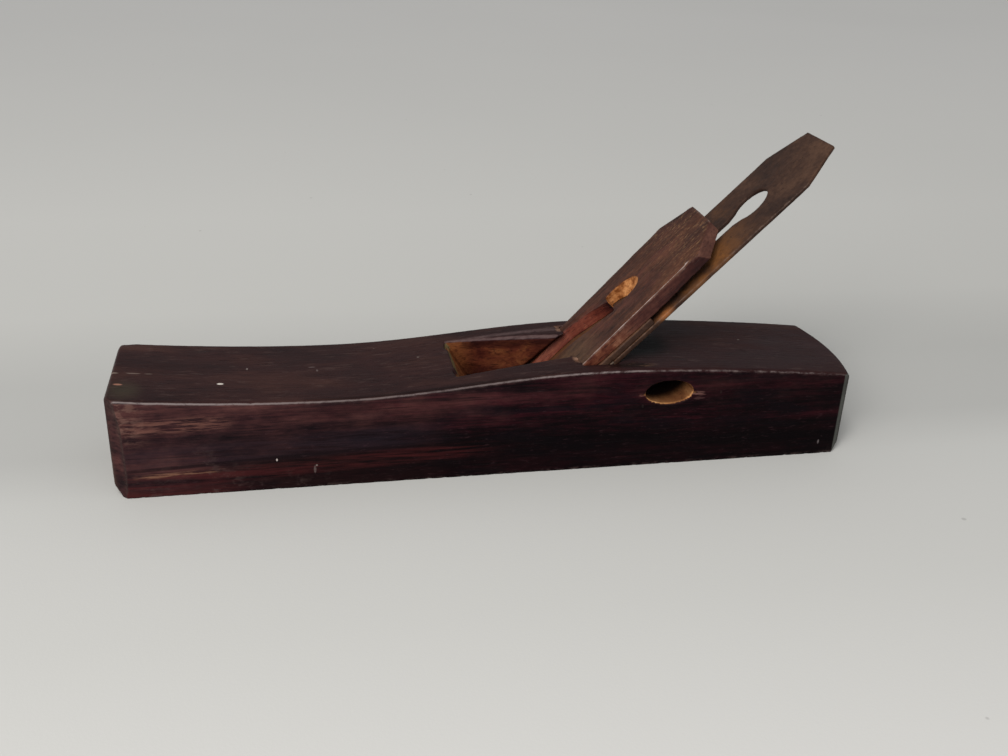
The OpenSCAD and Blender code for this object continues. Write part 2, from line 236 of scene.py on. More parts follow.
# Materials
class Nodes:
    """A short way to write a node material. Places are in metres unless a method says millimetres."""

    def __init__(self, name):
        self.mat = bpy.data.materials.new(name)
        self.mat.use_nodes = True
        self.tree = self.mat.node_tree
        self.shader = self.tree.nodes["Principled BSDF"]
        self.where = self.new("ShaderNodeTexCoord").outputs["Object"]
        axes = self.new("ShaderNodeSeparateXYZ")
        self.put(self.where, axes.inputs[0])
        self.x, self.y, self.z = axes.outputs

    def new(self, kind, **sets):
        """A node with some of its properties set."""
        n = self.tree.nodes.new(kind)
        for k, v in sets.items():
            setattr(n, k, v)
        return n

    def put(self, value, socket):
        """Links a socket to another, or sets its value."""
        if isinstance(value, bpy.types.NodeSocket):
            self.tree.links.new(value, socket)
        elif isinstance(value, (tuple, list)) and len(value) == 3 and socket.type == "RGBA":
            socket.default_value = (*value, 1)
        else:
            socket.default_value = value

    def op(self, kind, a, b=0.0, c=0.0, clamp=False):
        """One math node."""
        n = self.new("ShaderNodeMath", operation=kind, use_clamp=clamp)
        for value, socket in zip((a, b, c), n.inputs):
            self.put(value, socket)
        return n.outputs[0]

    def times(self, first, *others):
        """The product of some values."""
        for value in others:
            first = self.op("MULTIPLY", first, value)
        return first

    def plus(self, first, *others):
        """The sum of some values."""
        for value in others:
            first = self.op("ADD", first, value)
        return first

    def minus(self, a, b):
        """One value less another."""
        return self.op("SUBTRACT", a, b)

    def weighted(self, *pairs):
        """The sum of some values, each times its share."""
        return self.plus(*[self.times(value, share) for value, share in pairs])

    def mapped(self, scale, move=(0, 0, 0), turn=(0, 0, 0), where=None):
        """The place, turned, scaled and moved."""
        n = self.new("ShaderNodeMapping")
        self.put(self.where if where is None else where, n.inputs["Vector"])
        n.inputs["Location"].default_value = move
        n.inputs["Rotation"].default_value = turn
        n.inputs["Scale"].default_value = scale
        return n.outputs[0]

    def noise(self, where, detail, rough=0.55, warp=0.0):
        """Smooth noise from 0 to 1 over a mapped place."""
        n = self.new("ShaderNodeTexNoise")
        self.put(where, n.inputs["Vector"])
        for key, value in (("Scale", 1), ("Detail", detail), ("Roughness", rough), ("Distortion", warp)):
            n.inputs[key].default_value = value
        return n.outputs[0]

    def cells(self, where):
        """Distance to the nearest of many scattered points."""
        n = self.new("ShaderNodeTexVoronoi")
        self.put(where, n.inputs["Vector"])
        n.inputs["Scale"].default_value = 1
        return n.outputs["Distance"]

    def line_of(self, x):
        """A place that moves along one axis with a number."""
        n = self.new("ShaderNodeCombineXYZ")
        self.put(x, n.inputs[0])
        return n.outputs[0]

    def length(self, where):
        """Distance of a mapped place from the origin."""
        n = self.new("ShaderNodeVectorMath", operation="LENGTH")
        self.put(where, n.inputs[0])
        return n.outputs["Value"]

    def step(self, a, b, x, low=0.0, high=1.0):
        """Low up to a, high from b, and smooth between."""
        n = self.new("ShaderNodeMapRange", interpolation_type="SMOOTHSTEP")
        self.put(x, n.inputs["Value"])
        for key, value in (("From Min", a), ("From Max", b), ("To Min", low), ("To Max", high)):
            n.inputs[key].default_value = value
        return n.outputs[0]

    def value(self, name):
        """A value that each point of the mesh carries."""
        return self.new("ShaderNodeAttribute", attribute_name=name).outputs["Fac"]

    def patch(self, centre, half, soft):
        """1 within half of a place along X, falling to 0 over soft. In millimetres."""
        d = self.op("ABSOLUTE", self.minus(self.x, centre * MM))
        return self.step(half * MM, (half + soft) * MM, d, 1.0, 0.0)

    def spot(self, place, size, soft=0.5, ragged=None):
        """1 inside an oval about a place, falling to 0 over a share of its size. In millimetres."""
        scale = [1 / (MM * k) for k in size]
        d = self.length(self.mapped(scale, [-MM * p * k for p, k in zip(place, scale)]))
        if ragged is not None:
            d = self.plus(d, ragged)
        return self.step(1 - soft, 1.0, d, 1.0, 0.0)

    def mix(self, share, a, b):
        """Colour a, with a share of colour b."""
        n = self.new("ShaderNodeMix", data_type="RGBA", blend_type="MIX", clamp_factor=True)
        for value, socket in zip((share, a, b), (n.inputs[0], n.inputs[6], n.inputs[7])):
            self.put(value, socket)
        return n.outputs[2]

    def ramp(self, x, *stops):
        """A colour for each value of x, between stops."""
        n = self.new("ShaderNodeValToRGB")
        self.put(x, n.inputs[0])
        els = n.color_ramp.elements
        while len(els) < len(stops):
            els.new(0.5)
        for el, (place, colour) in zip(els, stops):
            el.position = place
            el.color = (*colour, 1)
        return n.outputs[0]

    def bump(self, height, distance, strength=0.8):
        """A normal bent by a height."""
        n = self.new("ShaderNodeBump")
        self.put(height, n.inputs["Height"])
        n.inputs["Distance"].default_value = distance
        n.inputs["Strength"].default_value = strength
        return n.outputs[0]

    def done(self, colour, roughness, normal, **fixed):
        """Joins the shader up, sets its constant values and gives the material."""
        self.put(colour, self.shader.inputs["Base Color"])
        self.put(roughness, self.shader.inputs["Roughness"])
        self.put(normal, self.shader.inputs["Normal"])
        for key, value in fixed.items():
            self.shader.inputs[key.replace("_", " ")].default_value = value
        return self.mat


# Small marks on the stock: place and size in millimetres, share, colour. Long ones have torn outlines
LONG_MARK = 2.5
MARKS = [
    ((-105.4, -10.2, 37.1), (1.5, 0.9, 1.5), 0.90, (0.62, 0.56, 0.50)),
    ((-141.2, -12.4, 40.0), (2.0, 0.9, 1.5), 0.75, (0.33, 0.150, 0.100)),
    ((-144.0, -2.8, 40.0), (2.4, 0.7, 1.5), 0.55, (0.26, 0.200, 0.160)),
    ((-137.0, -2.6, 39.4), (2.8, 0.45, 1.5), 0.45, (0.22, 0.170, 0.140)),
    ((-131.5, -2.6, 38.9), (1.8, 0.4, 1.5), 0.40, (0.20, 0.160, 0.130)),
    ((-95.9, 2.9, 36.6), (0.5, 1.0, 1.5), 0.55, (0.24, 0.200, 0.180)),
    ((-71.5, 3.2, 35.9), (1.7, 0.5, 1.5), 0.35, (0.20, 0.160, 0.150)),
    ((-69.5, 0.0, 35.9), (0.5, 1.2, 1.5), 0.35, (0.20, 0.160, 0.150)),
    ((-86.1, -26.6, 12.6), (0.40, 0.7, 0.70), 0.75, (0.50, 0.430, 0.400)),
    ((76.9, -26.6, 30.7), (3.2, 0.9, 1.2), 0.60, (0.150, 0.072, 0.062)),
    ((77.6, -26.6, 28.7), (2.6, 0.9, 0.6), 0.25, (0.110, 0.055, 0.050)),
    ((53.4, -26.6, 31.3), (2.6, 0.9, 0.7), 0.50, (0.130, 0.055, 0.045)),
    ((131.8, -26.6, 5.6), (0.5, 0.7, 1.2), 0.45, (0.18, 0.150, 0.150)),
    ((-72.3, -26.6, 7.6), (0.6, 0.7, 2.0), 0.30, (0.20, 0.160, 0.150)),
    ((-71.6, -26.6, 9.3), (0.5, 0.7, 0.5), 0.50, (0.26, 0.210, 0.190)),
]


def stock_noises(m):
    """The noises that several layers of the stock share. Most are long streaks along the grain."""
    broad = m.noise(m.mapped((4.5, 45, 85), (0.3, 0.1, 0.7), TILT), 4, 0.62, 0.5)
    streak = m.noise(m.mapped((26, 190, 480), (0.1, 0.4, 0.2), TILT), 5, 0.70, 0.45)
    fine = m.noise(m.mapped((120, 700, 1500), (0.7, 0.2, 0.4), TILT), 3, 0.65, 0.2)
    mottle = m.noise(m.mapped((55, 120, 120), (0.4, 0.9, 0.1)), 4, 0.65)
    cloudy = m.noise(m.mapped((95, 210, 230), (0.6, 0.5, 0.8), TILT), 4, 0.68, 0.4)
    tone = m.weighted((broad, 0.36), (streak, 0.30))
    tone = m.plus(tone, m.weighted((fine, 0.16), (cloudy, 0.18)))
    smudge = m.noise(m.mapped((22, 60, 60)), 5, 0.6)
    grit = m.noise(m.mapped((260, 420, 420)), 4, 0.7)
    return SimpleNamespace(broad=broad, streak=streak, fine=fine, mottle=mottle, cloudy=cloudy, tone=tone,
                           smudge=smudge, grit=grit)


def bare_wood(m, g):
    """Dark streaky wood, paler where it dried and where a sheen is painted, with painted shade low on the
    sides and towards the heel.
    """
    dark = m.ramp(g.tone, (0.42, (0.0010, 0.0005, 0.0009)), (0.48, (0.0048, 0.0013, 0.0022)),
                  (0.53, (0.0136, 0.0021, 0.0039)), (0.58, (0.0262, 0.0040, 0.0068)),
                  (0.66, (0.048, 0.0092, 0.0108)))
    cool = m.noise(m.mapped((24, 90, 130), (0.9, 0.3, 0.6), TILT), 4, 0.6)
    dark = m.mix(m.step(0.50, 0.60, cool, 0.0, 0.6), dark, (0.0034, 0.0022, 0.0040))
    soft = m.weighted((g.broad, 0.42), (g.mottle, 0.26))
    soft = m.plus(soft, m.weighted((g.streak, 0.20), (g.fine, 0.12)))
    pale = m.ramp(soft, (0.40, (0.0075, 0.0042, 0.0056)), (0.47, (0.024, 0.0098, 0.0112)),
                  (0.53, (0.050, 0.0190, 0.0185)), (0.61, (0.088, 0.034, 0.030)),
                  (0.72, (0.150, 0.070, 0.052)))
    # The toe end is paler, partly dried wood and partly a painted sheen; the heel end is darkest, and the
    # wood is paler higher up
    dried_and_sheen = m.plus(m.step(-0.145, 0.035, m.x, 1.0, 0.0), m.step(0.3, 0.7, g.mottle, -0.12, 0.12))
    dried_and_sheen = m.op("ADD", dried_and_sheen, m.step(0.012, 0.04, m.z, -0.12, 0.10), clamp=True)
    wood = m.mix(dried_and_sheen, dark, pale)
    # Painted shade: darker low on the sides away from the toe, and darker towards the heel
    shade = m.times(m.step(0.030, 0.010, m.z), m.step(-0.128, -0.08, m.x, 0.0, 0.78))
    shade = m.op("MAXIMUM", shade, m.step(-0.01, 0.12, m.x, 0.0, 0.45))
    return m.mix(shade, wood, (0.0014, 0.0006, 0.0009))


def side_streaks(m, g, wood):
    """Streaks placed on the near side, and flecks."""
    low = m.plus(m.z, m.times(m.x, -math.tan(GRAIN_TILT)))
    front = m.step(-0.0245, -0.026, m.y)

    def band(centre, half_run, soft_run, height, half, soft, a, b, broken):
        """1 along a streak that rises with the grain. Height is where it would cross the middle."""
        up = m.op("ABSOLUTE", m.minus(low, height * MM))
        up = m.step(half * MM, (half + soft) * MM, up, 1.0, 0.0)
        run = m.times(m.patch(centre, half_run, soft_run), up)
        return m.times(run, m.step(a, b, broken), front)

    blue = band(-95, 45, 40, 21.5, 2.6, 4.0, 0.30, 0.60, g.streak)
    red = band(-78, 55, 25, 12.6, 1.6, 2.6, 0.38, 0.60, g.streak)
    blush = band(-121, 11, 12, 34.6, 1.2, 3.0, 0.44, 0.60, g.fine)
    crack = band(-92, 42, 16, 17.4, 0.25, 0.9, 0.30, 0.50, g.streak)
    tan = band(-122, 9, 9, 14.6, 0.2, 1.2, 0.47, 0.60, g.fine)
    frayed = m.step(0.46, 0.60, m.noise(m.mapped((160, 300, 420)), 4, 0.7))
    rim = m.times(m.step(-0.128, -0.139, m.x), frayed, front, m.step(0.016, 0.030, m.z))
    for mask, share, colour in (
        (blue, 0.55, (0.0135, 0.0095, 0.0140)),
        (red, 0.6, (0.048, 0.0085, 0.0090)),
        (blush, 0.6, (0.150, 0.066, 0.050)),
        (rim, 0.42, (0.185, 0.100, 0.078)),
        (crack, 0.75, (0.0060, 0.0030, 0.0040)),
        (tan, 0.55, (0.21, 0.108, 0.064)),
    ):
        wood = m.mix(m.times(mask, share), wood, colour)
    deep_red = m.times(front, m.step(0.012, 0.007, low), m.step(-0.09, -0.12, m.x))
    deep_red = m.times(deep_red, m.step(0.35, 0.6, g.streak, 0.3, 0.8))
    wood = m.mix(deep_red, wood, (0.050, 0.0090, 0.0090))
    # Short pale flecks where the pores hold dust
    short = m.noise(m.mapped((240, 850, 1250), (0.2, 0.6, 0.5), TILT), 3, 0.7)
    flecks = m.times(m.step(0.56, 0.70, short), m.step(0.40, 0.60, g.cloudy, 0.3, 1.0))
    return m.mix(m.times(flecks, 0.25), wood, (0.058, 0.027, 0.032))


def handled_top(m, g, wood):
    """The top is greyer, handled and dusty and with a painted sheen, with a painted shadow behind the iron.
    """
    # Painted sheen: the top is greyer, partly dust and partly a painted reflection of the pale surroundings
    grey = m.ramp(m.weighted((g.smudge, 0.62), (g.tone, 0.38)),
                  (0.38, (0.0145, 0.0066, 0.0066)), (0.50, (0.0245, 0.0105, 0.0100)),
                  (0.62, (0.044, 0.0200, 0.0165)))
    grey = m.mix(m.step(0.02, 0.06, m.x, 0.0, 0.45), grey, (0.0245, 0.0085, 0.0092))
    fleck = m.step(0.56, 0.66, m.noise(m.mapped((110, 520, 520), (0.3, 0.8, 0)), 4, 0.7))
    grey = m.mix(m.times(fleck, 0.30), grey, (0.080, 0.050, 0.042))
    olive = m.times(m.spot((-139, -17, 39), (9, 11, 9), 0.9), 0.45)
    grey = m.mix(olive, grey, (0.052, 0.047, 0.028))
    far_edge = m.times(m.step(0.016, 0.024, m.y), m.step(0.4, 0.62, g.smudge))
    grey = m.mix(m.times(far_edge, 0.5), grey, (0.070, 0.034, 0.026))
    wavy = m.step(0.35, 0.65, g.smudge, 0.22, -0.12)
    # Painted shadow on the top behind the iron's foot, with a wavy outline
    painted_shadow = m.times(m.spot((58, -3, 41), (17, 20, 9), 0.65, wavy), 0.94)
    oily = m.times(m.spot((51, -21.5, 41), (14, 3.4, 9), 0.7, wavy), 0.8)
    grey = m.mix(painted_shadow, grey, (0.0012, 0.0008, 0.0008))
    grey = m.mix(oily, grey, m.mix(fleck, (0.0070, 0.0030, 0.0018), (0.110, 0.055, 0.025)))
    return m.mix(m.times(m.value("top"), 0.88), wood, grey)


def end_grain(m, g, wood):
    """Rings at the toe and the heel, and the cut corner."""
    from_pith = m.length(m.mapped((0, 1, 1), (0, -0.012, 0.055)))
    bent = m.noise(m.mapped((20, 60, 60), (0.2, 0, 0.4)), 3, 0.55)
    rings = m.weighted((from_pith, 480), (bent, 3.0))
    rings = m.noise(m.line_of(rings), 4, 0.7)
    pored = m.noise(m.mapped((60, 1100, 1100), (0.4, 0.2, 0)), 3, 0.7)
    rings = m.weighted((rings, 0.55), (pored, 0.45))
    end = m.ramp(rings, (0.38, (0.0110, 0.0066, 0.0068)), (0.54, (0.036, 0.0200, 0.0180)),
                 (0.68, (0.080, 0.046, 0.037)))
    low_end = m.times(m.step(0.022, 0.006, m.z), m.step(-0.12, -0.14, m.x))
    low_end = m.times(low_end, m.step(-0.0245, -0.022, m.y))
    end = m.mix(m.times(low_end, 0.5), end, (0.125, 0.075, 0.055))
    wood = m.mix(m.times(m.value("end"), 0.85), wood, end)
    # The cut corner at the heel is dry and greenish
    facet = m.times(m.step(0.1383, 0.1390, m.x), m.step(-0.018, -0.022, m.y))
    facet = m.times(facet, m.minus(1.0, m.value("top")), m.step(0.1425, 0.1402, m.x))
    facet = m.times(facet, m.step(0.35, 0.6, g.mottle, 0.6, 0.9))
    return m.mix(facet, wood, (0.082, 0.084, 0.074))


def worn_edges(m, g, wood):
    """Worn edges show lighter, broken wood, and a polished line that carries a painted highlight."""
    worn = m.times(m.value("edge"), m.step(0.48, 0.66, g.grit))
    wood = m.mix(m.times(worn, 0.40), wood, (0.085, 0.055, 0.050))
    # The near top edge is rubbed, and a thin bright line is painted on it as a highlight, unbroken only
    # towards the toe
    uneven = m.noise(m.mapped((300, 90, 90), (0.6, 0, 0)), 4, 0.7)
    arris = m.value("arris")
    off = m.minus(m.plus(arris, m.step(0.3, 0.7, uneven, -0.012, 0.012)), 0.487)
    line = m.step(0.028, 0.092, m.op("ABSOLUTE", off), 1.0, 0.0)
    whole = m.minus(m.plus(g.grit, 0.10), m.times(m.x, 0.9))
    line = m.times(line, m.step(0.38, 0.66, whole))
    line = m.times(line, m.times(m.step(-0.1425, -0.141, m.x), m.step(0.140, 0.138, m.x)))
    fade = m.op("MAXIMUM", m.step(-0.12, -0.045, m.x, 0.85, 0.5), m.step(-0.01, 0.03, m.x, 0.5, 0.8))
    fade = m.times(fade, m.step(0.048, 0.060, m.x, 1.0, 0.55))
    line = m.times(line, fade)
    wood = m.mix(line, wood, (0.185, 0.150, 0.145))
    # Painted shade lies in a band just above that line
    painted_shade_band = m.times(m.step(0.05, 0.28, arris), m.step(0.46, 0.38, arris))
    painted_shade_band = m.times(painted_shade_band, m.patch(-32, 26, 26))
    wood = m.mix(m.times(painted_shade_band, 0.6), wood, (0.0060, 0.0032, 0.0034))
    # The chamfer along the throat's far side is polished too, and a highlight is painted on it
    rub_and_sheen = m.times(m.value("rub_and_sheen"), m.step(0.3, 0.6, g.grit, 0.45, 0.8))
    return m.mix(rub_and_sheen, wood, (0.098, 0.062, 0.060))


def raw_cuts(m, g, wood):
    """Raw wood where it was cut: the throat and the handle hole, with painted shade in both and a painted
    highlight in the throat.
    """
    blotch = m.noise(m.mapped((70, 110, 110), (0.2, 0.6, 0.1)), 5, 0.68, 0.6)
    cut = m.ramp(blotch, (0.34, (0.048, 0.0085, 0.0052)), (0.46, (0.105, 0.0235, 0.0110)),
                 (0.57, (0.185, 0.052, 0.0200)), (0.70, (0.31, 0.112, 0.038)))
    tip = m.step(-0.002, -0.016, m.x)
    cut = m.mix(m.times(tip, 0.45), cut, m.mix(g.grit, (0.02, 0.006, 0.003), (0.46, 0.18, 0.055)))
    flecked = m.step(0.52, 0.64, m.noise(m.mapped((330, 520, 520), (0.5, 0.2, 0.3)), 3, 0.65))
    cut = m.mix(m.times(flecked, 0.55), cut, (0.030, 0.0065, 0.0040))
    # Painted shade deep in the throat and under its far side's chamfer
    painted_throat_shade = m.times(m.value("painted_throat_shade"), m.step(0.3, 0.65, blotch, 1.0, 0.6))
    cut = m.mix(painted_throat_shade, cut, (0.016, 0.0036, 0.0030))
    cut = m.mix(m.step(-0.014, 0.004, m.x, 0.0, 0.42), cut, (0.036, 0.0090, 0.0065))
    # A painted highlight, olive-yellow, along the top edge of the throat's front wall
    cut = m.mix(m.times(m.value("olive"), 0.8), cut, (0.150, 0.125, 0.058))
    # The handle hole, with painted shade inside: darker past its lip, and nearly black deeper in, sooner
    # towards the toe
    bore = m.ramp(m.noise(m.mapped((90, 60, 260)), 4, 0.65), (0.32, (0.15, 0.058, 0.020)),
                  (0.5, (0.38, 0.175, 0.066)), (0.7, (0.56, 0.31, 0.130)))
    far_in = m.minus(m.plus(m.y, HALF_W * MM), m.times(m.minus(m.x, HOLE[0] * MM), 0.32))
    inside = m.step(0.0263, 0.0247, m.op("ABSOLUTE", m.y))
    bore = m.mix(m.times(inside, 0.72), bore, (0.085, 0.030, 0.0130))
    bore = m.mix(m.step(0.0030, 0.0100, far_in, 0.0, 0.99), bore, (0.006, 0.0024, 0.0015))
    cut = m.mix(m.value("bore"), cut, bore)
    wood = m.mix(m.value("raw"), wood, cut)
    # Chipped wood at the abutments
    chip = m.ramp(g.grit, (0.40, (0.035, 0.016, 0.011)), (0.50, (0.11, 0.055, 0.036)),
                  (0.64, (0.27, 0.155, 0.105)))
    return m.mix(m.times(m.value("chip"), 0.85), wood, chip)


def small_marks(m, g, wood):
    """Small pale specks, scratches and dust."""
    specks = m.step(0.05, 0.03, m.cells(m.mapped((75, 120, 40), (0.31, 0.2, 0))))
    specks = m.times(specks, m.plus(m.value("top"), 0.06), 0.5)
    wood = m.mix(specks, wood, (0.22, 0.19, 0.16))
    torn = m.step(0.38, 0.60, g.fine, 0.5, -0.2)
    for place, size, share, colour in MARKS:
        mark = m.spot(place, size, 0.5, torn if size[0] > LONG_MARK else None)
        wood = m.mix(m.times(mark, share), wood, colour)
    dust = m.step(0.10, 0.05, m.cells(m.mapped((330, 420, 420), (0.1, 0.7, 0.4))))
    some = m.step(0.57, 0.66, m.noise(m.mapped((190, 190, 190)), 2, 0.5))
    return m.mix(m.times(dust, some, 0.08), wood, (0.16, 0.12, 0.115))


def grain_height(m):
    """Long fibres and open pores, as a height, and the pores alone."""
    fibres = m.noise(m.mapped((12, 900, 900), turn=TILT), 4, 0.65)
    pores = m.noise(m.mapped((40, 1440, 1440), (3, 1, 2), TILT), 2, 0.5)
    pits = m.step(0.60, 0.72, pores)
    return m.minus(fibres, m.times(pits, 0.9)), pits


def stock_material():
    """Old rosewood, built up in layers."""
    m = Nodes("stock_rosewood")
    g = stock_noises(m)
    wood = bare_wood(m, g)
    for layer in (side_streaks, handled_top, end_grain, worn_edges, raw_cuts, small_marks):
        wood = layer(m, g, wood)
    height, pits = grain_height(m)
    wood = m.mix(m.times(pits, 0.45), wood, (0.0035, 0.0018, 0.0025))
    shine = m.plus(m.step(0.35, 0.7, g.smudge, 0.42, 0.58), m.times(m.value("raw"), 0.3))
    shine = m.plus(shine, m.times(m.value("edge"), -0.12))
    return m.done(wood, shine, m.bump(height, 0.00012), Specular_IOR_Level=0.045)


def wedge_material():
    """Browner rosewood, with raw wood in the scoop and the slot."""
    m = Nodes("wedge_rosewood")
    # Axes turned so that X runs up the wedge
    up = m.mapped((1, 1, 1), turn=(0, BED_A, 0))

    def lay(scale, move=(0, 0, 0)):
        return m.mapped(scale, move, where=up)

    broad = m.noise(lay((16, 80, 160), (0.2, 0.3, 0)), 5, 0.66, 0.5)
    fine = m.noise(lay((90, 900, 1200), (0.5, 0.1, 0)), 4, 0.65)
    weave = m.noise(m.mapped((520, 520, 520), (0.3, 0, 0)), 3, 0.6)
    cloudy = m.noise(lay((75, 130, 150), (0.4, 0.1, 0.7)), 5, 0.7, 0.3)
    tone = m.weighted((broad, 0.42), (fine, 0.20))
    tone = m.plus(tone, m.weighted((weave, 0.16), (cloudy, 0.22)))
    wood = m.ramp(tone, (0.38, (0.0175, 0.0060, 0.0042)), (0.47, (0.044, 0.0160, 0.0095)),
                  (0.55, (0.080, 0.031, 0.0172)), (0.66, (0.140, 0.065, 0.033)))
    purple = m.ramp(tone, (0.38, (0.0105, 0.0030, 0.0034)), (0.50, (0.029, 0.0082, 0.0072)),
                    (0.64, (0.080, 0.028, 0.0200)))
    flush = m.step(0.47, 0.60, m.noise(lay((42, 60, 90), (0.7, 0.4, 0.2)), 4, 0.7, 0.4))
    wood = m.mix(m.times(flush, 0.38), wood, (0.085, 0.026, 0.0190))
    wood = m.mix(m.value("side"), wood, purple)
    clip = m.ramp(tone, (0.38, (0.034, 0.0120, 0.0098)), (0.62, (0.116, 0.050, 0.034)))
    wood = m.mix(m.value("clip"), wood, clip)
    speck = m.noise(lay((420, 1300, 1300), (0.1, 0.7, 0)), 3, 0.65)
    gold = m.times(m.value("top"), m.step(0.54, 0.66, speck))
    wood = m.mix(m.times(gold, 0.55), wood, (0.21, 0.115, 0.054))
    olive = m.ramp(tone, (0.38, (0.032, 0.0165, 0.0100)), (0.62, (0.098, 0.056, 0.031)))
    wood = m.mix(m.times(m.value("low"), 0.75), wood, olive)
    grit = m.noise(m.mapped((240, 240, 240)), 4, 0.6)
    patchy = m.weighted((tone, 0.55), (grit, 0.45))
    blush = m.ramp(patchy, (0.40, (0.026, 0.0070, 0.0045)), (0.48, (0.084, 0.0215, 0.0115)),
                   (0.54, (0.130, 0.042, 0.0210)), (0.64, (0.26, 0.115, 0.066)))
    wood = m.mix(m.value("blush"), wood, blush)
    sawn = m.weighted((grit, 0.4), (weave, 0.6))
    raw = m.ramp(sawn, (0.38, (0.15, 0.046, 0.012)), (0.50, (0.35, 0.138, 0.046)),
                 (0.62, (0.50, 0.225, 0.085)))
    wood = m.mix(m.value("raw"), wood, raw)
    inner = m.ramp(tone, (0.38, (0.050, 0.0100, 0.0080)), (0.50, (0.118, 0.027, 0.0160)),
                   (0.64, (0.235, 0.074, 0.040)))
    wood = m.mix(m.value("inner"), wood, inner)
    worn = m.times(m.value("edge"), m.step(0.44, 0.62, grit))
    wood = m.mix(m.times(worn, 0.5), wood, (0.15, 0.098, 0.078))
    # The long front edge on the near side is a thin bright line, a painted highlight
    line = m.plus(m.value("arris"), m.step(0.3, 0.7, grit, -0.05, 0.04))
    line = m.times(m.step(0.76, 0.84, line), m.value("rub_and_sheen"))
    wood = m.mix(line, wood, (0.42, 0.33, 0.30))
    pores = m.step(0.60, 0.70, m.noise(lay((150, 1500, 1500), (0.9, 0.4, 0)), 2, 0.5))
    wood = m.mix(m.times(pores, 0.45), wood, (0.012, 0.005, 0.004))
    height = m.minus(m.plus(fine, m.times(weave, 0.4)), m.times(pores, 0.8))
    shine = m.step(0.3, 0.7, broad, 0.42, 0.6)
    return m.done(wood, shine, m.bump(height, 0.00013), Specular_IOR_Level=0.12)


def rust_material(name, dark, mid, light, spots):
    """Rusty metal, with orange spots, rubbed edges that carry a painted glint, and painted light on the
    rust in two places.
    """
    m = Nodes(name)
    lump = m.noise(m.mapped((45, 45, 45)), 6, 0.68, 0.3)
    grit = m.noise(m.mapped((520, 520, 520)), 4, 0.7)
    tone = m.weighted((lump, 0.7), (grit, 0.3))
    metal = m.ramp(tone, (0.34, dark), (0.5, mid), (0.66, light))
    cloud = m.noise(m.mapped((75, 75, 75), (1, 0, 2)), 5, 0.7)
    orange = m.times(m.value("orange"), m.step(0.36, 0.64, cloud))
    metal = m.mix(orange, metal, spots)
    flank = m.times(m.value("flank"), m.step(0.3, 0.6, lump, 0.55, 0.25))
    metal = m.mix(flank, metal, dark)
    # Rust at the iron's near front edge, painted lighter as if lit
    rust_with_painted_light = m.times(m.spot((61.7, -18.5, 62.8), (6, 4, 5), 0.7), m.step(0.36, 0.58, cloud, 0.45, 1.0))
    metal = m.mix(rust_with_painted_light, metal, (0.250, 0.090, 0.028))
    # Rust on the iron's front beside and below the wedge, painted lighter as if lit where it lies in shade
    upper = m.spot((83, -12, 82), (8, 14, 8), 0.8)
    lower = m.spot((73, -17, 72), (9, 6, 9), 0.8)
    front_rust_with_painted_light = m.op("MAXIMUM", upper, lower)
    front_rust_with_painted_light = m.times(front_rust_with_painted_light, m.step(0.36, 0.58, cloud, 0.35, 0.9))
    metal = m.mix(front_rust_with_painted_light, metal, (0.195, 0.078, 0.024))
    pits = m.step(0.60, 0.72, m.noise(m.mapped((420, 420, 420), (2, 1, 0)), 3, 0.6))
    metal = m.mix(m.times(pits, 0.45), metal, dark)
    # Edges rubbed to the metal, lighter partly as a painted glint
    bare_and_glint = m.times(m.value("edge"), m.step(0.42, 0.62, grit))
    metal = m.mix(m.times(bare_and_glint, 0.5), metal, (0.110, 0.072, 0.055))
    height = m.minus(grit, m.times(pits, 0.6))
    shine = m.step(0.3, 0.7, lump, 0.42, 0.66)
    return m.done(metal, shine, m.bump(height, 0.00012), Metallic=0.05, Specular_IOR_Level=0.1)


# The stock
def in_throat(p):
    """Whether a point lies in the block of space about the throat."""
    x, y, z = p.T
    return (x > THROAT_X[0]) & (x < THROAT_X[1]) & (np.abs(y) < GROOVE_HALF + 1.2) & (z > -1)


def in_hole(p, grow):
    """Whether a point lies in the handle hole, grown by some millimetres."""
    across = (p[:, 0] - HOLE[0]) / (HOLE_HALF[0] + grow)
    up = (p[:, 2] - HOLE[1]) / (HOLE_HALF[1] + grow)
    return across ** 2 + up ** 2 < 1


def iron_front(s):
    """Height of the iron's front above the bed."""
    return 2.75 - 0.00625 * (s + 2.5)


def wedge_front(s):
    """Height of the wedge's front above the bed."""
    return 9.1 + 0.0236 * s


def depth_in(p):
    """How far a point lies below the outer surface."""
    x, y, z = p.T
    return np.minimum.reduce([HALF_W - np.abs(y), top_h(x) - z, z, x - TOE_X, HEEL_X - x])


def on_contact(p):
    """Whether a point is on a face that iron or wedge touches, which keeps its plane."""
    x, y, z = p.T
    s = (x - BED_AT[0]) * math.cos(BED_A) + z * math.sin(BED_A)
    t = -(x - BED_AT[0]) * math.sin(BED_A) + z * math.cos(BED_A)
    behind = (np.abs(y) < GROOVE_HALF + 0.4) & (s > -8) & (x > -8)
    return behind & (t > -0.4) & (t < wedge_front(s) + 0.5)


def knocks(x, places, lengths, depths):
    """Small hollows at places along a line."""
    total = np.zeros_like(x)
    for place, length, depth in zip(places, lengths, depths):
        total = np.maximum(total, depth * np.exp(-((x - place) / length) ** 2))
    return total


